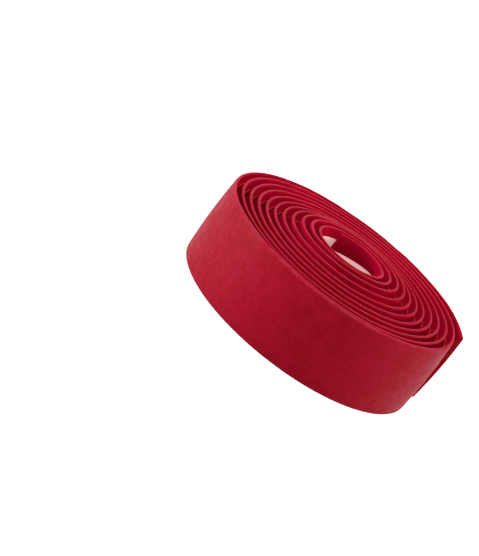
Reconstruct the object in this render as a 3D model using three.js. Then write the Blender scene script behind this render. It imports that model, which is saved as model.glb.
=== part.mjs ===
// A roll of padded handlebar tape lying on its side, wound loosely with its release paper inside.
// Millimetres, +Z up. The tape's lower slit edge lies on z = 0 and the winding axis is parallel to Z.
// Turns are counted inwards from the free outer end, which points along +X.
import * as THREE from 'three';

// Tape section
const TAPE_WIDTH = 30;
const TAPE_EDGE_THICKNESS = 0.9;
const TAPE_CROWN_RISE = 0.55;
const TAPE_BACK_RISE = 0.75;
const TAPE_BACK_TAPER = 3;

// Release paper on the tape's back
const PAPER_WIDTH = 23;
const PAPER_THICKNESS = 0.15;
const ADHESIVE_THICKNESS = 0.15;
const PAPER_DRIFT = 3;
const PAPER_DRIFT_TURNS = 0.4;

// Winding
const CORE_RADIUS = 11.4;
const TURN_COUNT = 11.32;
const WINDING_SLACK = 0.79;
const OUTER_END_FLARE = 0.4;
const OUTER_FLARE_TURNS = 0.13;
const INNER_END_FLARE = 0.5;
const INNER_FLARE_TURNS = 0.3;

// The core stands proud of the level outer turns
const CORE_LIFT = 3.3;
const LEVEL_TURNS = 4.8;
const LIFT_TURNS = 5;

// Facets
const STEP_COUNT = 400;
const CROWN_STEPS = 3;

const halfEdge = TAPE_EDGE_THICKNESS / 2;
const backFace = halfEdge + TAPE_BACK_RISE;
const crownFace = halfEdge + TAPE_CROWN_RISE;
const paperOffset = backFace + ADHESIVE_THICKNESS;
const turnPitch = crownFace + paperOffset + PAPER_THICKNESS + WINDING_SLACK;
const outerRadius = CORE_RADIUS + turnPitch * TURN_COUNT;

// How far an end springs out, at a distance in turns from it.
function endFlare(flare, flareTurns, turnsFromEnd) {
  return flare * Math.max(0, 1 - turnsFromEnd / flareTurns) ** 2;
}

// The middle line of the tape's lower edge. The steps shorten towards the core,
// so that each facet leaves the true spiral by the same amount.
class WindingPath extends THREE.Curve {
  turnsIn(t) {
    const outer = outerRadius ** 1.5;
    const inner = CORE_RADIUS ** 1.5;
    const radius = THREE.MathUtils.lerp(outer, inner, t) ** (2 / 3);
    return (outerRadius - radius) / turnPitch;
  }

  getPoint(t, target = new THREE.Vector3()) {
    const turns = this.turnsIn(t);
    const flare = endFlare(OUTER_END_FLARE, OUTER_FLARE_TURNS, turns)
      + endFlare(INNER_END_FLARE, INNER_FLARE_TURNS, TURN_COUNT - turns);
    const radius = outerRadius - turnPitch * turns + flare;
    const angle = 2 * Math.PI * turns;
    const lift = CORE_LIFT * THREE.MathUtils.smoothstep(turns, LEVEL_TURNS, LEVEL_TURNS + LIFT_TURNS);
    return target.set(radius * Math.cos(angle), radius * Math.sin(angle), lift);
  }
}

// Section outlines: x points outwards from the winding axis, y runs up the tape's width.
function tapeSection() {
  const backFlat = TAPE_WIDTH - TAPE_BACK_TAPER;
  const section = new THREE.Shape();
  section.moveTo(halfEdge, 0);
  section.quadraticCurveTo(2 * crownFace - halfEdge, TAPE_WIDTH / 2, halfEdge, TAPE_WIDTH);
  section.lineTo(-halfEdge, TAPE_WIDTH);
  section.lineTo(-backFace, backFlat);
  section.lineTo(-backFace, TAPE_BACK_TAPER);
  section.lineTo(-halfEdge, 0);
  return () => section.getPoints(CROWN_STEPS);
}

// The paper is centred on the tape, and slips down it towards the inner end.
function paperSection() {
  const lower = (TAPE_WIDTH - PAPER_WIDTH) / 2;
  const back = -paperOffset - PAPER_THICKNESS;
  return (turns) => {
    const start = TURN_COUNT - PAPER_DRIFT_TURNS;
    const drift = PAPER_DRIFT * THREE.MathUtils.smoothstep(turns, start, TURN_COUNT);
    const bottom = lower - drift;
    const top = bottom + PAPER_WIDTH;
    return [
      new THREE.Vector2(-paperOffset, bottom),
      new THREE.Vector2(-paperOffset, top),
      new THREE.Vector2(back, top),
      new THREE.Vector2(back, bottom),
    ];
  };
}

// Carries an anticlockwise section along the winding, square to it, and closes both ends.
function windSection(sectionAt) {
  const path = new WindingPath();
  const positions = [];
  const indices = [];
  let ringSize = 0;
  for (let step = 0; step <= STEP_COUNT; step += 1) {
    const t = step / STEP_COUNT;
    const centre = path.getPoint(t);
    const tangent = path.getTangent(t);
    const outward = new THREE.Vector3(tangent.y, -tangent.x, 0).normalize();
    const ring = sectionAt(path.turnsIn(t));
    ringSize = ring.length;
    for (const point of ring) {
      const vertex = centre.clone().addScaledVector(outward, point.x);
      positions.push(vertex.x, vertex.y, vertex.z + point.y);
    }
  }
  for (let step = 0; step < STEP_COUNT; step += 1) {
    for (let corner = 0; corner < ringSize; corner += 1) {
      const next = (corner + 1) % ringSize;
      const near = step * ringSize;
      const far = near + ringSize;
      indices.push(near + corner, far + next, near + next);
      indices.push(near + corner, far + corner, far + next);
    }
  }
  const last = STEP_COUNT * ringSize;
  for (const [a, b, c] of THREE.ShapeUtils.triangulateShape(sectionAt(0), [])) {
    indices.push(a, b, c);
    indices.push(last + a, last + c, last + b);
  }
  const geometry = new THREE.BufferGeometry();
  geometry.setAttribute('position', new THREE.Float32BufferAttribute(positions, 3));
  geometry.setIndex(indices);
  geometry.computeVertexNormals();
  return geometry;
}

function foamTape() {
  const material = new THREE.MeshStandardMaterial({ color: 0x9e1a2e, roughness: 0.85, metalness: 0 });
  const mesh = new THREE.Mesh(windSection(tapeSection()), material);
  mesh.name = 'foam_tape';
  return mesh;
}

function releasePaper() {
  const material = new THREE.MeshStandardMaterial({ color: 0xe2c6c2, roughness: 0.6, metalness: 0 });
  const mesh = new THREE.Mesh(windSection(paperSection()), material);
  mesh.name = 'release_paper';
  return mesh;
}

// The origin is the centre of the roll's box, on the surface that it lies on.
function handlebarTapeRoll() {
  const roll = new THREE.Group();
  roll.add(foamTape(), releasePaper());
  const centre = new THREE.Box3().setFromObject(roll).getCenter(new THREE.Vector3());
  roll.position.set(-centre.x, -centre.y, 0);
  return roll;
}

const group = handlebarTapeRoll();

export default group;
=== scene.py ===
"""A roll of padded foam handlebar tape, wound loosely with its release paper inside."""
import math
import bmesh
import bpy
import numpy as np
from bpy.props import FloatProperty, FloatVectorProperty, PointerProperty
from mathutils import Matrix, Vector, noise


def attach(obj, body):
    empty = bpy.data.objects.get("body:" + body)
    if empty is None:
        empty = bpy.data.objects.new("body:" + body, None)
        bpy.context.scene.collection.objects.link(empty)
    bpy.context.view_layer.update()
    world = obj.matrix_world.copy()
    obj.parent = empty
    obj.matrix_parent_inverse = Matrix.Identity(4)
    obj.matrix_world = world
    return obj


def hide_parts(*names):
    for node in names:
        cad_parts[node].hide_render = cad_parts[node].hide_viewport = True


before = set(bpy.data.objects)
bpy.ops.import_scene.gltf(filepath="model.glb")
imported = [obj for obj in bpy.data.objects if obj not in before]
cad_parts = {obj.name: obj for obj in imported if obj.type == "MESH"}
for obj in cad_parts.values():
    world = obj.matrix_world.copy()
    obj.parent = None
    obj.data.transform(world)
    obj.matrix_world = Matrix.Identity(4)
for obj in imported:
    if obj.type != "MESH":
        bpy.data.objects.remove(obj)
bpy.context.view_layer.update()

bl_info = {
    "name": "Handlebar Tape Roll",
    "version": (1, 0, 0),
    "blender": (4, 5, 0),
    "location": "View3D > Sidebar > Tape Roll",
    "description": "Adds a wound roll of padded handlebar tape with its release paper",
    "category": "Add Mesh",
}

MILLIMETRE = 0.001

# Points of the guide that the strips are wound along
WINDING_POINTS = 4500

# Cuts across a strip: each round divides every step of the one before
STRIP_CUTS = (31, 44)

# Sharpest bend between two facets that is still shaded smooth
SMOOTH_ANGLE = math.radians(40.0)

# Rows of points along the strips: millimetres up the tape, and shares of the paper's width
TAPE_ROWS = (0.9, 1.6, 2.4, 3.2, 4.0, 7.5, 11.0, 15.0, 19.0, 22.5, 26.0, 26.8, 27.6, 28.4, 29.1)
PAPER_ROWS = (0.25, 0.5, 0.75)

# Facets of the rounded corners, and how far past the rounding its points are looked for, as a factor
FACE_ROUND_STEPS = 4
BACK_ROUND_STEPS = 2
CORNER_REACH = 1.01

# Finishes of the tape and the paper, in the order of their slots
FACE_SLOT, COVERED_SLOT, EDGE_SLOT, BACK_SLOT = range(4)
PAPER_SLOT, PAPER_EDGE_SLOT = range(2)

# How far a face's normal leans up, down or along the tape to count as a cut, sharp or worn
CUT_TILT = 0.5
WORN_TILT = 0.25

# Marks on the strips that their finishes read, all from 0 to 1
PAINTED_SHEEN = "worn"
DEPTH = "depth"
PAINTED_TAIL_LIGHT = "tail"
STUCK = "stuck"

# Turns from the free outer end at which its wear stops and the covered face's finish starts
WORN_TURNS = 1.0
FACE_TURNS = 1.05

# Turns from the outer end over which wear and the slit edges' painted sheen fade, each side becomes covered
# and takes the deep painted light, and the tail's painted light fades
WEAR_FADE = (0.98, 1.06)
FACE_COVER = (1.04, 1.14)
BACK_COVER = (0.02, 0.12)
TAIL_FADE = (0.015, 0.05)

# Turns from the inner end over which the tape becomes covered
CORE_COVER = (0.9, 1.1)

# Turns over which the paper comes loose from the foam
LOOSENING_TURNS = 0.2

# How far in from a slit edge the deep colour, painted light between the turns, starts on each side, and how
# far it takes to be full
FACE_SHALLOW = 0.0009
BACK_SHALLOW = 0.0003
DEEPENING = 0.0027

# Where the top edge sits low: turns from the outer end, depth and half length in turns
TOP_DIPS = (
    (1.73, 0.0007, 0.17),
    (2.72, 0.0008, 0.17),
    (3.72, 0.0004, 0.17),
    (5.72, -0.0003, 0.17),
    (7.2, 0.0002, 0.5),
    (8.72, -0.0003, 0.17),
    (9.72, -0.0006, 0.17),
    (10.72, -0.0003, 0.17),
)

# The top edge's wander: its mean, and for each noise its waves to the metre, seed and share
WANDER_MEAN = 0.6
WANDER_NOISES = ((60.0, 3.0, 1.0), (190.0, 9.0, 0.5))

# How far red, green and blue light travel inside the foam
FOAM_SCATTER = {"Subsurface Radius": (4.0, 0.4, 0.6), "Subsurface Scale": MILLIMETRE}

# Sockets of a Mix node that blends colours
MIX_SHARE, MIX_FIRST, MIX_SECOND, MIX_RESULT = 0, 6, 7, 2

WHITE = (1.0, 1.0, 1.0, 1.0)

# How far the floor lies below the roll, and how far the lamps stand from it
FLOOR_DROP = 0.00005
LAMP_DISTANCE = 1.0

# The camera: place and nearest distance seen in metres, turn in degrees, sensor in millimetres
CAMERA_PLACE = (-0.17981, -0.84960, 0.30572)
CAMERA_TURN = (66.240, -34.600, 3.873)
SENSOR_WIDTH = 36.0
CLIP_START = 0.01


class TapeSettings(bpy.types.PropertyGroup):
    width: FloatProperty(
        name="Width", description="Width of the flat tape", default=0.030, unit="LENGTH")
    edge_thickness: FloatProperty(
        name="Edge thickness", description="Thickness of the slit edges", default=0.0009, unit="LENGTH")
    crown_rise: FloatProperty(
        name="Crown rise", description="How far the outer face bulges at mid width", default=0.00055,
        unit="LENGTH")
    back_rise: FloatProperty(
        name="Back rise", description="How far the padding stands out on the back", default=0.00075,
        unit="LENGTH")
    back_taper: FloatProperty(
        name="Back taper", description="Width of the thinned margin on the back", default=0.004,
        unit="LENGTH")
    face_round: FloatProperty(
        name="Face round", description="Rounding of the outer face into the slit edges", default=0.0004,
        unit="LENGTH")
    worn_round: FloatProperty(
        name="Worn round", description="Rounding of the slit edges on the exposed outer turn",
        default=0.00072, unit="LENGTH")
    back_round: FloatProperty(
        name="Back round", description="Rounding of the back into the slit edges", default=0.00014,
        unit="LENGTH")
    tail_skew: FloatProperty(
        name="Tail skew", description="How much shorter the lower edge is cut at the outer end",
        default=0.0034, unit="LENGTH")
    tail_length: FloatProperty(
        name="Tail length", description="Length of tape over which the skew fades", default=0.022,
        unit="LENGTH")
    end_pinch: FloatProperty(
        name="End pinch", description="Length over which the cut squeezes the inner end thin",
        default=0.004, unit="LENGTH")
    edge_wander: FloatProperty(
        name="Edge wander", description="How far the top edge wanders up and down", default=0.00016,
        unit="LENGTH")
    face_colour: FloatVectorProperty(
        name="Face colour", description="Colour of the suede-like outer face", subtype="COLOR",
        default=(0.210, 0.0012, 0.0110))
    shade_colour: FloatVectorProperty(
        name="Shade colour", description="Colour of the face's darker mottles", subtype="COLOR",
        default=(0.174, 0.0001, 0.0042))
    cut_colour: FloatVectorProperty(
        name="Cut colour", description="Colour of the foam on the slit edges", subtype="COLOR",
        default=(0.185, 0.0058, 0.0140))
    # Painted sheen: the exposed outer turn's slit edges get a paler, pinker colour in place of a sheen
    painted_sheen_colour: FloatVectorProperty(
        name="Painted sheen colour", description="Colour of the slit edges on the exposed outer turn",
        subtype="COLOR", default=(0.178, 0.0160, 0.0290))
    # Painted shade: the covered outer face near its slit edge is darker than the face
    covered_painted_shade_colour: FloatVectorProperty(
        name="Covered colour", description="Colour of the outer face just inside a covered slit edge",
        subtype="COLOR", default=(0.172, 0.0012, 0.0095))
    back_colour: FloatVectorProperty(
        name="Back colour", description="Colour of the smooth back", subtype="COLOR",
        default=(0.215, 0.0009, 0.0115))
    # Painted light: the foam deep between two turns is much lighter than near the slit edges
    deep_painted_light_colour: FloatVectorProperty(
        name="Deep colour", description="Colour of the light-painted foam deep between two turns",
        subtype="COLOR", default=(0.52, 0.0016, 0.023))
    # Painted light: the back at the free outer end gets a lighter tone of its own
    tail_painted_light_colour: FloatVectorProperty(
        name="Tail colour", description="Colour of the back at the free outer end", subtype="COLOR",
        default=(0.27, 0.0010, 0.0140))


class PaperSettings(bpy.types.PropertyGroup):
    width: FloatProperty(
        name="Width", description="Width of the release paper", default=0.023, unit="LENGTH")
    thickness: FloatProperty(
        name="Thickness", description="Thickness of the release paper", default=0.00015, unit="LENGTH")
    adhesive: FloatProperty(
        name="Adhesive", description="Thickness of the adhesive under the paper", default=0.00015,
        unit="LENGTH")
    drift: FloatProperty(
        name="Drift", description="How far the paper slips down the tape at the inner end",
        default=0.003, unit="LENGTH")
    drift_turns: FloatProperty(
        name="Drift turns", description="Turns over which the paper slips", default=0.4)
    colour: FloatVectorProperty(
        name="Paper colour", description="Colour of the release paper", subtype="COLOR",
        default=(0.94, 0.65, 0.62))
    # The foam shows red through the stuck paper, and the red light bounced between the turns is painted
    # into this colour too
    stuck_and_red_bounce_colour: FloatVectorProperty(
        name="Stuck colour", description="Colour of the paper where the foam shows through it",
        subtype="COLOR", default=(0.70, 0.003, 0.026))
    edge_colour: FloatVectorProperty(
        name="Edge colour", description="Colour of the paper's slit edges", subtype="COLOR",
        default=(0.58, 0.045, 0.075))
    stuck_turns: FloatProperty(
        name="Stuck turns", description="Turns, from the outer end, over which the paper is stuck flat",
        default=10.0)


class WindingSettings(bpy.types.PropertyGroup):
    axis: FloatVectorProperty(
        name="Axis", description="Where the winding axis stands, off the centre of the roll's box",
        size=2, default=(-0.001056, -0.000807), subtype="XYZ", unit="LENGTH", precision=6)
    core_radius: FloatProperty(
        name="Core radius", description="Radius at the inner end", default=0.0114, unit="LENGTH")
    turns: FloatProperty(name="Turns", description="Number of turns", default=11.32)
    pitch: FloatProperty(
        name="Pitch", description="Distance from turn to turn", default=0.00329, unit="LENGTH")
    outer_flare: FloatProperty(
        name="Outer flare", description="How far the outer end springs out", default=0.0004,
        unit="LENGTH")
    outer_flare_turns: FloatProperty(
        name="Outer flare turns", description="Turns over which the outer end springs out",
        default=0.13)
    inner_flare: FloatProperty(
        name="Inner flare", description="How far the inner end springs out", default=0.0005,
        unit="LENGTH")
    inner_flare_turns: FloatProperty(
        name="Inner flare turns", description="Turns over which the inner end springs out",
        default=0.3)
    core_lift: FloatProperty(
        name="Core lift", description="How far the core stands proud", default=0.0033, unit="LENGTH")
    level_turns: FloatProperty(
        name="Level turns", description="Outer turns that lie level", default=4.8)
    lift_turns: FloatProperty(
        name="Lift turns", description="Turns over which the core rises", default=5.0)


class StageSettings(bpy.types.PropertyGroup):
    floor_size: FloatProperty(
        name="Floor size", description="Side of the floor", default=12.0, unit="LENGTH")
    floor_colour: FloatVectorProperty(
        name="Floor colour", description="Colour of the floor", subtype="COLOR",
        default=(0.5, 0.5, 0.5))
    floor_glow: FloatProperty(
        name="Floor glow", description="How much brighter the camera sees the floor", default=0.9)
    left_power: FloatProperty(
        name="Left lamp", description="Power of the left soft box", default=19.0, unit="POWER")
    right_power: FloatProperty(
        name="Right lamp", description="Power of the right soft box", default=10.4, unit="POWER")
    front_power: FloatProperty(
        name="Front lamp", description="Power of the soft box in front", default=7.8, unit="POWER")
    top_power: FloatProperty(
        name="Top lamp", description="Power of the soft box above", default=7.8, unit="POWER")
    sky: FloatProperty(
        name="Sky", description="Strength of the even light all round", default=0.28)
    lens: FloatProperty(
        name="Lens", description="Focal length of the camera, in millimetres", default=171.1,
        unit="CAMERA")


class Wire:
    """An output of a shader node, so that shader maths reads as an expression."""

    def __init__(self, shader, socket):
        self.shader = shader
        self.socket = socket

    def maths(self, operation, first, second):
        return self.shader.node("ShaderNodeMath", {"operation": operation}, {0: first, 1: second})

    def __add__(self, other):
        return self.maths("ADD", self, other)

    def __radd__(self, other):
        return self.maths("ADD", other, self)

    def __sub__(self, other):
        return self.maths("SUBTRACT", self, other)

    def __rsub__(self, other):
        return self.maths("SUBTRACT", other, self)

    def __mul__(self, other):
        return self.maths("MULTIPLY", self, other)

    def __rmul__(self, other):
        return self.maths("MULTIPLY", other, self)

    def at_least(self, other):
        return self.maths("MAXIMUM", self, other)


class Shader:
    """The node tree of a material or a world."""

    def __init__(self, owner):
        owner.use_nodes = True
        self.tree = owner.node_tree
        self.tree.nodes.clear()

    def add(self, kind, settings=None, inputs=None):
        """Adds a node, makes its settings and then fills its inputs with values or wires."""
        node = self.tree.nodes.new(kind)
        for name, value in (settings or {}).items():
            setattr(node, name, value)
        for key, value in (inputs or {}).items():
            if isinstance(value, Wire):
                self.tree.links.new(value.socket, node.inputs[key])
            else:
                node.inputs[key].default_value = value
        return node

    def node(self, kind, settings=None, inputs=None, output=0):
        """Adds a node and returns one of its outputs."""
        return Wire(self, self.add(kind, settings, inputs).outputs[output])

    def seen_by(self, ray):
        """1 for one kind of ray and 0 for the others."""
        return self.node("ShaderNodeLightPath", output=ray)


class Finish(Shader):
    """A material that is built up node by node."""

    def __init__(self, name):
        self.material = bpy.data.materials.new(name)
        super().__init__(self.material)

    def clouds(self, scale, detail, roughness):
        """Soft noise from 0 to 1, with scale in waves to the metre."""
        place = self.node("ShaderNodeTexCoord", output="Object")
        inputs = {"Vector": place, "Scale": scale, "Detail": detail, "Roughness": roughness}
        return self.node("ShaderNodeTexNoise", inputs=inputs)

    def mark(self, name):
        return self.node("ShaderNodeAttribute", {"attribute_name": name}, output="Fac")

    def ramp(self, value, low, high):
        """0 below low and 1 above high, with a soft step between them."""
        inputs = {"Value": value, "From Min": low, "From Max": high}
        return self.node("ShaderNodeMapRange", {"interpolation_type": "SMOOTHSTEP"}, inputs)

    def blend(self, share, first, second):
        """The first colour where share is 0 and the second where it is 1."""
        inputs = {MIX_SHARE: share, MIX_FIRST: first, MIX_SECOND: second}
        return self.node("ShaderNodeMix", {"data_type": "RGBA"}, inputs, output=MIX_RESULT)

    def bump(self, height, distance, strength):
        inputs = {"Height": height, "Distance": distance, "Strength": strength}
        return self.node("ShaderNodeBump", inputs=inputs)

    def show(self, shader):
        self.add("ShaderNodeOutputMaterial", inputs={"Surface": shader})
        return self.material

    def surface(self, inputs):
        return self.show(self.node("ShaderNodeBsdfPrincipled", inputs=inputs))


def opaque(colour, level=1.0):
    """A colour at a level of brightness, with its alpha."""
    return (*(level * channel for channel in colour), 1.0)


def foam_face_finish(tape):
    """The suede-like outer face: a fine nap with soft mottles."""
    finish = Finish("foam_face")
    patches = finish.clouds(scale=130.0, detail=3.0, roughness=0.55)
    mottles = finish.clouds(scale=460.0, detail=4.0, roughness=0.6)
    nap = finish.clouds(scale=2600.0, detail=3.0, roughness=0.6)
    shade = finish.ramp(patches * 0.2 + mottles * 0.4 + nap * 0.4, low=0.41, high=0.59)
    return finish.surface({
        "Base Color": finish.blend(shade, opaque(tape.shade_colour), opaque(tape.face_colour)),
        "Roughness": 0.62 - shade * 0.12,
        "Specular IOR Level": 0.055,
        "Specular Tint": (1.0, 0.88, 1.0, 1.0),
        "Subsurface Weight": 0.2,
        **FOAM_SCATTER,
        "Normal": finish.bump(mottles * 0.3 + nap * 0.7, distance=0.3 * MILLIMETRE, strength=0.17),
    })


def foam_edge_finish(tape):
    """The slit edges: open foam cells, with a painted sheen that makes them paler on the worn outer turn.
    """
    finish = Finish("foam_edge")
    cells = finish.clouds(scale=3200.0, detail=3.0, roughness=0.6)
    patches = finish.clouds(scale=260.0, detail=2.0, roughness=0.5)
    shade = finish.ramp(cells * 0.6 + patches * 0.4, low=0.35, high=0.62)
    # Painted sheen: the worn outer turn's slit edges blend to a paler, pinker colour
    cut_and_painted_sheen = finish.blend(finish.mark(PAINTED_SHEEN), opaque(tape.cut_colour), opaque(tape.painted_sheen_colour))
    return finish.surface({
        "Base Color": finish.blend(shade, opaque(tape.face_colour), cut_and_painted_sheen),
        "Roughness": 0.95 - cells * 0.1,
        "Specular IOR Level": 0.0,
        "Subsurface Weight": 0.5,
        **FOAM_SCATTER,
        "Sheen Weight": 0.09,
        "Sheen Roughness": 0.4,
        "Sheen Tint": (1.0, 0.8, 0.84, 1.0),
        "Normal": finish.bump(cells, distance=0.3 * MILLIMETRE, strength=0.4),
    })


def foam_inner_finish(name, tape, near):
    """Foam that another turn covers, from its colour near the slit edges, a painted shade on the covered
    face, to a lighter colour deep inside, which is painted light.
    """
    finish = Finish(name)
    patches = finish.clouds(scale=160.0, detail=3.0, roughness=0.5)
    grain = finish.clouds(scale=1800.0, detail=3.0, roughness=0.55)
    shade = finish.ramp(patches * 0.5 + grain * 0.5, low=0.35, high=0.65)
    shallow = finish.blend(shade, opaque(near, level=0.85), opaque(near))
    # Painted light: lighter towards the colour deep between two turns
    covered = finish.blend(finish.mark(DEPTH), shallow, opaque(tape.deep_painted_light_colour))
    return finish.surface({
        # Painted light: the back at the free outer end takes its own lighter tone
        "Base Color": finish.blend(finish.mark(PAINTED_TAIL_LIGHT), covered, opaque(tape.tail_painted_light_colour)),
        "Roughness": 0.8 - grain * 0.1,
        "Specular IOR Level": 0.0,
        "Subsurface Weight": 1.0,
        **FOAM_SCATTER,
        "Normal": finish.bump(grain, distance=0.2 * MILLIMETRE, strength=0.25),
    })


def paper_finish(paper):
    """Thin release paper, pale where it is loose and red where the foam shows through it, with the red
    light bounced between the turns painted in.
    """
    finish = Finish("release_paper")
    clouds = finish.clouds(scale=220.0, detail=4.0, roughness=0.6)
    fibres = finish.clouds(scale=2400.0, detail=3.0, roughness=0.55)
    shade = finish.ramp(clouds * 0.6 + fibres * 0.4, low=0.35, high=0.65)
    loose = finish.blend(shade, opaque(paper.colour, level=0.9), opaque(paper.colour))
    return finish.surface({
        # The stuck paper's red is partly the foam showing through and partly painted red bounce light
        "Base Color": finish.blend(finish.mark(STUCK), loose, opaque(paper.stuck_and_red_bounce_colour)),
        "Roughness": 0.75 - fibres * 0.15,
        "Specular IOR Level": 0.0,
        "Normal": finish.bump(clouds * 0.7 + fibres * 0.3, distance=0.2 * MILLIMETRE, strength=0.2),
    })


def paper_edge_finish(paper):
    """The paper's slit edges, which stay pale."""
    finish = Finish("release_paper_edge")
    fibres = finish.clouds(scale=2400.0, detail=3.0, roughness=0.55)
    return finish.surface({
        "Base Color": finish.blend(fibres, opaque(paper.edge_colour, level=0.8), opaque(paper.edge_colour)),
        "Roughness": 0.8,
        "Specular IOR Level": 0.15,
    })


def floor_finish(stage):
    """Pale floor that the camera sees white, apart from the roll's shadow."""
    finish = Finish("pale_floor")
    seen = finish.seen_by("Is Camera Ray").at_least(finish.seen_by("Is Glossy Ray"))
    seen = seen.at_least(finish.seen_by("Is Transmission Ray"))
    floor = finish.node("ShaderNodeBsdfDiffuse", inputs={"Color": opaque(stage.floor_colour)})
    glow = finish.node("ShaderNodeEmission", inputs={"Color": WHITE, "Strength": seen * stage.floor_glow})
    return finish.show(finish.node("ShaderNodeAddShader", inputs={0: floor, 1: glow}))


def smoothstep(value, low, high):
    share = np.clip((value - low) / (high - low), 0.0, 1.0)
    return share * share * (3.0 - 2.0 * share)


class Winding:
    """The spiral that the tape's lower edge follows, from the free outer end inwards."""

    def __init__(self, settings):
        self.turns = np.linspace(0.0, settings.turns, WINDING_POINTS)
        self.turn_count = settings.turns
        outer = 1.0 - self.turns / settings.outer_flare_turns
        inner = 1.0 - (settings.turns - self.turns) / settings.inner_flare_turns
        flare = settings.outer_flare * np.clip(outer, 0.0, None) ** 2
        flare += settings.inner_flare * np.clip(inner, 0.0, None) ** 2
        radius = settings.core_radius + settings.pitch * (settings.turns - self.turns) + flare
        angle = 2.0 * math.pi * self.turns
        lift_end = settings.level_turns + settings.lift_turns
        lift = settings.core_lift * smoothstep(self.turns, settings.level_turns, lift_end)
        self.points = np.column_stack((
            settings.axis[0] + radius * np.cos(angle),
            settings.axis[1] + radius * np.sin(angle),
            lift,
        ))
        steps = np.linalg.norm(np.diff(self.points, axis=0), axis=1)
        self.distance = np.concatenate(([0.0], np.cumsum(steps)))
        self.length = self.distance[-1]

    def turns_at(self, distance):
        """Turns from the outer end at a distance along the tape."""
        return np.interp(distance, self.distance, self.turns)

    def add_guide(self):
        """Adds the spiral as a curve of straight steps."""
        data = bpy.data.curves.new("winding_guide", "CURVE")
        data.dimensions = "3D"
        data.twist_mode = "Z_UP"
        spline = data.splines.new("POLY")
        spline.points.add(len(self.points) - 1)
        spline.points.foreach_set("co", np.column_stack((self.points, np.ones(len(self.points)))).ravel())
        guide = bpy.data.objects.new("winding_guide", data)
        bpy.context.scene.collection.objects.link(guide)
        return guide


class Strip:
    """A flat strip as long as a winding, along x, with z up its width and its outer face towards -y."""

    def __init__(self, name, winding, thickness, low, high):
        self.winding = winding
        bpy.ops.object.select_all(action="DESELECT")
        bpy.ops.mesh.primitive_cube_add(
            size=1.0, location=(winding.length / 2, 0.0, (low + high) / 2),
            scale=(winding.length, thickness, high - low))
        bpy.ops.object.transform_apply(location=True, rotation=True, scale=True)
        self.object = bpy.context.object
        self.object.name = name
        self.object.data.name = name
        bpy.ops.object.mode_set(mode="EDIT")
        bpy.ops.mesh.select_mode(type="EDGE")

    def edit(self):
        return bmesh.from_edit_mesh(self.object.data)

    def update(self):
        bmesh.update_edit_mesh(self.object.data)

    def add_rows(self, heights):
        """Cuts the strip lengthwise at each height."""
        for height in heights:
            bpy.ops.mesh.select_all(action="SELECT")
            bpy.ops.mesh.bisect(plane_co=(0.0, 0.0, height), plane_no=(0.0, 0.0, 1.0))

    def move(self, mover):
        """Gives every point the place that mover returns for its old one."""
        for vertex in self.edit().verts:
            vertex.co = mover(vertex.co)
        self.update()

    def select_long_edges(self, test):
        """Selects the edges that run along the strip and pass the test on a place."""
        bpy.ops.mesh.select_all(action="DESELECT")
        for edge in self.edit().edges:
            first, second = (vertex.co for vertex in edge.verts)
            along = abs(first.x - second.x) > max(abs(first.y - second.y), abs(first.z - second.z))
            edge.select_set(along and test(first))
        self.update()

    def round_corners(self, test, radius, steps):
        self.select_long_edges(test)
        bpy.ops.mesh.bevel(offset=radius, segments=steps, affect="EDGES")

    def cut_across(self):
        """Divides the strip into short steps, so that it can be wound."""
        for cuts in STRIP_CUTS:
            self.select_long_edges(lambda place: True)
            bpy.ops.mesh.subdivide(number_cuts=cuts)

    def paint(self, finishes, choose):
        """Adds the finishes, and gives each face the slot that choose returns for it."""
        for finish in finishes:
            self.object.data.materials.append(finish)
        edit = self.edit()
        edit.normal_update()
        for face in edit.faces:
            face.material_index = choose(face)
        self.update()

    def mark(self, name, measure):
        """Stores under a name what measure returns for each point's place and turns."""
        edit = self.edit()
        layer = edit.verts.layers.float.new(name)
        for vertex in edit.verts:
            vertex[layer] = measure(vertex.co, self.winding.turns_at(vertex.co.x))
        self.update()

    def wind(self):
        """Bends the strip along its winding and returns its object, which stays at the origin."""
        bpy.ops.mesh.select_all(action="SELECT")
        bpy.ops.mesh.normals_make_consistent(inside=False)
        bpy.ops.object.mode_set(mode="OBJECT")
        guide = self.winding.add_guide()
        modifier = self.object.modifiers.new("wind", "CURVE")
        modifier.object = guide
        modifier.deform_axis = "POS_X"
        bpy.ops.object.modifier_apply(modifier=modifier.name)
        bpy.data.objects.remove(guide)
        bpy.ops.object.shade_smooth_by_angle(angle=SMOOTH_ANGLE)
        return self.object


def shape_section(strip, tape):
    """Gives the strip its crowned face, thinned margins and rounded slit edges."""
    half_edge = tape.edge_thickness / 2

    def section(place):
        share = place.z / tape.width
        if place.y < 0.0:
            crown = tape.crown_rise * 4.0 * share * (1.0 - share)
            return Vector((place.x, -half_edge - crown, place.z))
        margin = min(place.z, tape.width - place.z)
        thinning = max(0.0, 1.0 - margin / tape.back_taper) ** 2
        return Vector((place.x, half_edge + tape.back_rise * (1.0 - thinning), place.z))

    def at_slit_edge(place):
        return min(place.z, tape.width - place.z) < tape.back_round / 2

    strip.add_rows([row * MILLIMETRE for row in TAPE_ROWS])
    strip.move(section)
    strip.round_corners(
        lambda place: at_slit_edge(place) and place.y > 0.0, tape.back_round, BACK_ROUND_STEPS)
    strip.round_corners(
        lambda place: at_slit_edge(place) and place.y < 0.0, tape.face_round, FACE_ROUND_STEPS)


def foam_slot(face, winding):
    """The slot of a face of the flat tape, where the cut inner end looks like the back."""
    turns = winding.turns_at(face.calc_center_median().x)
    tilt = WORN_TILT if turns < WORN_TURNS and face.normal.y < 0.0 else CUT_TILT
    if abs(face.normal.z) > tilt:
        return EDGE_SLOT
    if face.normal.y > 0.0 or face.normal.x > CUT_TILT:
        return BACK_SLOT
    return COVERED_SLOT if turns > FACE_TURNS else FACE_SLOT


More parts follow.
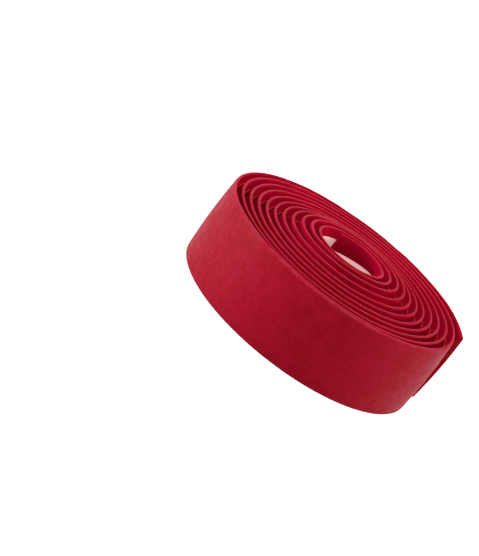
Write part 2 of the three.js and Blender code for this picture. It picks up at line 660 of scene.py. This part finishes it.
def paint_foam(strip, tape):
    finishes = (
        foam_face_finish(tape),
        # Painted shade: the covered face starts from a darker colour near its slit edges
        foam_inner_finish("foam_covered_face", tape, tape.covered_painted_shade_colour),
        foam_edge_finish(tape),
        foam_inner_finish("foam_back", tape, tape.back_colour),
    )
    strip.paint(finishes, lambda face: foam_slot(face, strip.winding))


def exposure(turns):
    """1 on the outer turn, which nothing covers, and 0 on the others."""
    return 1.0 - smoothstep(turns, *WEAR_FADE)


def mark_foam(strip, tape):
    """Marks the worn outer turn for its painted sheen, the foam deep between two turns for its painted
    light and the free outer end for its own painted light.
    """
    turn_count = strip.winding.turn_count

    def depth(place, turns):
        outward = place.y < 0.0
        hidden = smoothstep(turns, *(FACE_COVER if outward else BACK_COVER))
        hidden *= smoothstep(turn_count - turns, *CORE_COVER)
        inset = min(place.z, tape.width - place.z)
        shallow = FACE_SHALLOW if outward else BACK_SHALLOW
        return hidden * smoothstep(inset, shallow, shallow + DEEPENING)

    # The depth mark drives the painted light deep between two turns
    strip.mark(DEPTH, depth)
    # The tail mark drives the painted light on the back at the free outer end
    strip.mark(PAINTED_TAIL_LIGHT, lambda place, turns: 1.0 - smoothstep(turns, *TAIL_FADE))
    # The worn outer turn's mark drives the slit edges' painted sheen
    strip.mark(PAINTED_SHEEN, lambda place, turns: exposure(turns))


def wear_corner(tape, place, turns):
    """Widens the rounding of the slit edges on the exposed outer turn."""
    corner = Vector((place.x, -tape.edge_thickness / 2, 0.0 if place.z < tape.width / 2 else tape.width))
    if place.y > 0.0 or abs(place.z - corner.z) > tape.face_round * CORNER_REACH:
        return place
    growth = exposure(turns) * (tape.worn_round / tape.face_round - 1.0)
    return corner + (place - corner) * (1.0 + growth)


def top_drop(tape, place, turns):
    """How far the top edge sits below its height, by its dips and its wander."""
    dip = sum(depth * math.exp(-((turns - at) / spread) ** 2) for at, depth, spread in TOP_DIPS)
    wander = sum(
        share * noise.noise(Vector((place.x * waves, seed, 0.0))) for waves, seed, share in WANDER_NOISES)
    return dip + tape.edge_wander * (WANDER_MEAN + wander) * place.z / tape.width


def tail_skew(tape, place):
    """How far the slanting cut at the free outer end shortens the tape at a place."""
    share = 1.0 - place.z / tape.width
    return tape.tail_skew * share * (1.0 - smoothstep(place.x, 0.0, tape.tail_length))


def settle_foam(strip, tape):
    """Wears the outer turn's corners, skews the outer end, pinches the inner one and lets the top dip."""
    half_edge = tape.edge_thickness / 2

    def settle(place):
        turns = strip.winding.turns_at(place.x)
        place = wear_corner(tape, place, turns)
        pinch = 1.0 - smoothstep(strip.winding.length - place.x, 0.0, tape.end_pinch)
        padding = max(0.0, place.y - half_edge)
        drop = top_drop(tape, place, turns) * place.z / tape.width
        return Vector((place.x + tail_skew(tape, place), place.y - padding * pinch, place.z - drop))

    strip.move(settle)


def add_foam_tape(tape, winding):
    """Shapes the tape flat, finishes it and winds it."""
    strip = Strip("foam_tape_wound", winding, tape.edge_thickness, 0.0, tape.width)
    shape_section(strip, tape)
    strip.cut_across()
    paint_foam(strip, tape)
    mark_foam(strip, tape)
    settle_foam(strip, tape)
    return strip.wind()


def paper_slot(face):
    return PAPER_EDGE_SLOT if abs(face.normal.z) > CUT_TILT else PAPER_SLOT


def settle_paper(strip, paper, tape):
    """Lays the paper on the tape's back, cut with its outer end and slipping down at the inner one."""
    offset = tape.edge_thickness / 2 + tape.back_rise + paper.adhesive + paper.thickness / 2
    turn_count = strip.winding.turn_count

    def settle(place):
        turns = strip.winding.turns_at(place.x)
        drift = paper.drift * smoothstep(turns, turn_count - paper.drift_turns, turn_count)
        return Vector((place.x + tail_skew(tape, place), place.y + offset, place.z - drift))

    strip.move(settle)


def add_release_paper(paper, tape, winding):
    """Lays the paper out flat, finishes it and winds it with the tape."""
    low = (tape.width - paper.width) / 2
    loose = (paper.stuck_turns, paper.stuck_turns + LOOSENING_TURNS)
    strip = Strip("release_paper_wound", winding, paper.thickness, low, low + paper.width)
    strip.add_rows([low + paper.width * share for share in PAPER_ROWS])
    strip.cut_across()
    strip.paint((paper_finish(paper), paper_edge_finish(paper)), paper_slot)
    strip.mark(STUCK, lambda place, turns: 1.0 - smoothstep(turns, *loose))
    settle_paper(strip, paper, tape)
    return strip.wind()


class FoamTapeOperator(bpy.types.Operator):
    """Adds the foam tape, shaped flat and then wound from its free outer end to the core"""

    bl_idname = "mesh.wound_foam_tape_add"
    bl_label = "Add Foam Tape"

    def execute(self, context):
        roll = context.scene.tape_roll
        piece = add_foam_tape(roll.tape, Winding(roll.winding))
        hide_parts("foam_tape")
        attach(piece, "root")
        return {"FINISHED"}


class ReleasePaperOperator(bpy.types.Operator):
    """Adds the release paper that lies on the tape's back"""

    bl_idname = "mesh.wound_release_paper_add"
    bl_label = "Add Release Paper"

    def execute(self, context):
        roll = context.scene.tape_roll
        piece = add_release_paper(roll.paper, roll.tape, Winding(roll.winding))
        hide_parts("release_paper")
        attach(piece, "root")
        return {"FINISHED"}


def add_floor(stage):
    """Adds the floor, just below the roll's lower edge."""
    bpy.ops.object.select_all(action="DESELECT")
    bpy.ops.mesh.primitive_plane_add(size=stage.floor_size, location=(0.0, 0.0, -FLOOR_DROP))
    bpy.ops.object.transform_apply(location=True, rotation=True, scale=True)
    floor = bpy.context.object
    floor.name = "floor"
    floor.data.materials.append(floor_finish(stage))


def add_soft_box(name, watts, azimuth, elevation, size, colour):
    """Adds a lamp that faces the roll, with its azimuth in degrees anticlockwise from +X."""
    azimuth = math.radians(azimuth)
    elevation = math.radians(elevation)
    away = Vector((math.cos(azimuth), math.sin(azimuth), 0.0)) * math.cos(elevation)
    away.z = math.sin(elevation)
    bpy.ops.object.light_add(type="AREA", location=away * LAMP_DISTANCE)
    lamp = bpy.context.object
    lamp.name = name
    lamp.data.shape = "RECTANGLE"
    lamp.data.size, lamp.data.size_y = size
    lamp.data.energy = watts
    lamp.data.color = colour
    lamp.rotation_mode = "QUATERNION"
    lamp.rotation_quaternion = away.to_track_quat("Z", "Y")


def add_lamps(stage):
    add_soft_box(
        "left_box", stage.left_power, azimuth=180.0, elevation=7.0, size=(0.6, 0.2),
        colour=(0.8, 1.0, 1.0))
    add_soft_box(
        "right_box", stage.right_power, azimuth=-5.0, elevation=15.0, size=(0.6, 0.2),
        colour=(1.0, 0.78, 0.84))
    add_soft_box(
        "front_box", stage.front_power, azimuth=-102.0, elevation=31.0, size=(0.9, 0.6),
        colour=(1.0, 0.88, 0.9))
    add_soft_box(
        "top_box", stage.top_power, azimuth=0.0, elevation=90.0, size=(0.5, 0.5),
        colour=(1.0, 0.95, 1.0))


def add_sky(stage):
    """Lights the roll evenly from all round with a sky that the camera sees white."""
    sky = bpy.data.worlds.new("sky")
    shader = Shader(sky)
    strength = stage.sky + shader.seen_by("Is Camera Ray") * (1.0 - stage.sky)
    background = shader.node("ShaderNodeBackground", inputs={"Color": WHITE, "Strength": strength})
    shader.add("ShaderNodeOutputWorld", inputs={"Surface": background})
    bpy.context.scene.world = sky


def add_camera(stage):
    bpy.ops.object.camera_add(location=CAMERA_PLACE)
    camera = bpy.context.object
    camera.rotation_euler = [math.radians(angle) for angle in CAMERA_TURN]
    camera.data.lens = stage.lens
    camera.data.sensor_width = SENSOR_WIDTH
    camera.data.clip_start = CLIP_START
    bpy.context.scene.camera = camera


class StageOperator(bpy.types.Operator):
    """Adds the pale floor, the soft boxes, the sky and the camera"""

    bl_idname = "scene.tape_roll_stage_add"
    bl_label = "Add Stage"

    def execute(self, context):
        stage = context.scene.tape_roll.stage
        add_floor(stage)
        add_lamps(stage)
        add_sky(stage)
        add_camera(stage)
        context.scene.view_settings.view_transform = "Standard"
        return {"FINISHED"}


class TapeRollSettings(bpy.types.PropertyGroup):
    tape: PointerProperty(type=TapeSettings)
    paper: PointerProperty(type=PaperSettings)
    winding: PointerProperty(type=WindingSettings)
    stage: PointerProperty(type=StageSettings)


class TapeRollPanel(bpy.types.Panel):
    """Lists the settings of the roll and the stage, and the operators that add them"""

    bl_idname = "VIEW3D_PT_tape_roll"
    bl_label = "Tape Roll"
    bl_space_type = "VIEW_3D"
    bl_region_type = "UI"
    bl_category = "Tape Roll"

    def draw(self, context):
        roll = context.scene.tape_roll
        for name in ("tape", "paper", "winding", "stage"):
            box = self.layout.box()
            box.label(text=name.capitalize())
            group = getattr(roll, name)
            for setting in group.bl_rna.properties.keys():
                if setting not in ("rna_type", "name"):
                    box.prop(group, setting)
        for operator in OPERATORS:
            self.layout.operator(operator.bl_idname)


OPERATORS = (FoamTapeOperator, ReleasePaperOperator, StageOperator)
SETTINGS = (TapeSettings, PaperSettings, WindingSettings, StageSettings, TapeRollSettings)


def register():
    for cls in (*SETTINGS, *OPERATORS, TapeRollPanel):
        bpy.utils.register_class(cls)
    bpy.types.Scene.tape_roll = PointerProperty(type=TapeRollSettings)


def unregister():
    del bpy.types.Scene.tape_roll
    for cls in (TapeRollPanel, *reversed(OPERATORS), *reversed(SETTINGS)):
        bpy.utils.unregister_class(cls)


def main():
    register()
    bpy.ops.mesh.wound_foam_tape_add()
    bpy.ops.mesh.wound_release_paper_add()
    bpy.ops.scene.tape_roll_stage_add()


if __name__ == "__main__":
    main()
